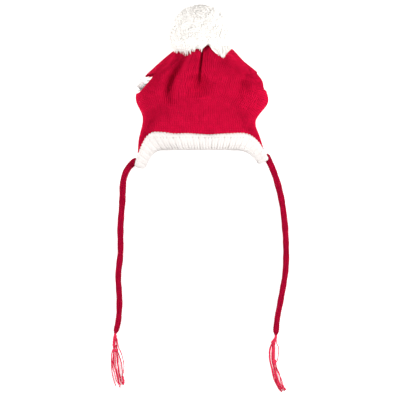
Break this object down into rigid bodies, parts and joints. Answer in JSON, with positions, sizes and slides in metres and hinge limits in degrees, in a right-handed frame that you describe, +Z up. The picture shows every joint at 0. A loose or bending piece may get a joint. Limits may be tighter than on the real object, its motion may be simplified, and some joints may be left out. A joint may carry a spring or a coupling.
{
  "type": "pet hat",
  "caption": "Knitted holiday hat for a small dog: gathered hood with ear slits, ribbed band, yarn ball, and ties with yarn tassels, lying flat.",
  "frame": {"origin": "on the surface that the hat lies on, under the middle of the hat's outline without its ties and tassels", "axes": "+Y from the mouth to the yarn ball, +Z up from the surface through the face side, +X to the right as seen from above with the ball at the top"},
  "size_m": [0.1772, 0.3815, 0.06],
  "materials": {
    "red_knit": "fine plain knit, matt",
    "white_rib": "thick rib knit, matt",
    "white_yarn": "cut yarn, matt",
    "red_yarn": "knitted cord and loose yarn, matt"
  },
  "bodies": {
    "root": {"crown": "red_knit", "brim": "white_rib", "ear_cuff_left": "white_rib", "ear_cuff_right": "white_rib", "pompom": "white_yarn", "tie_left": "red_yarn", "tie_right": "red_yarn", "tassel_left": "red_yarn", "tassel_right": "red_yarn"}
  },
  "joints": []
}
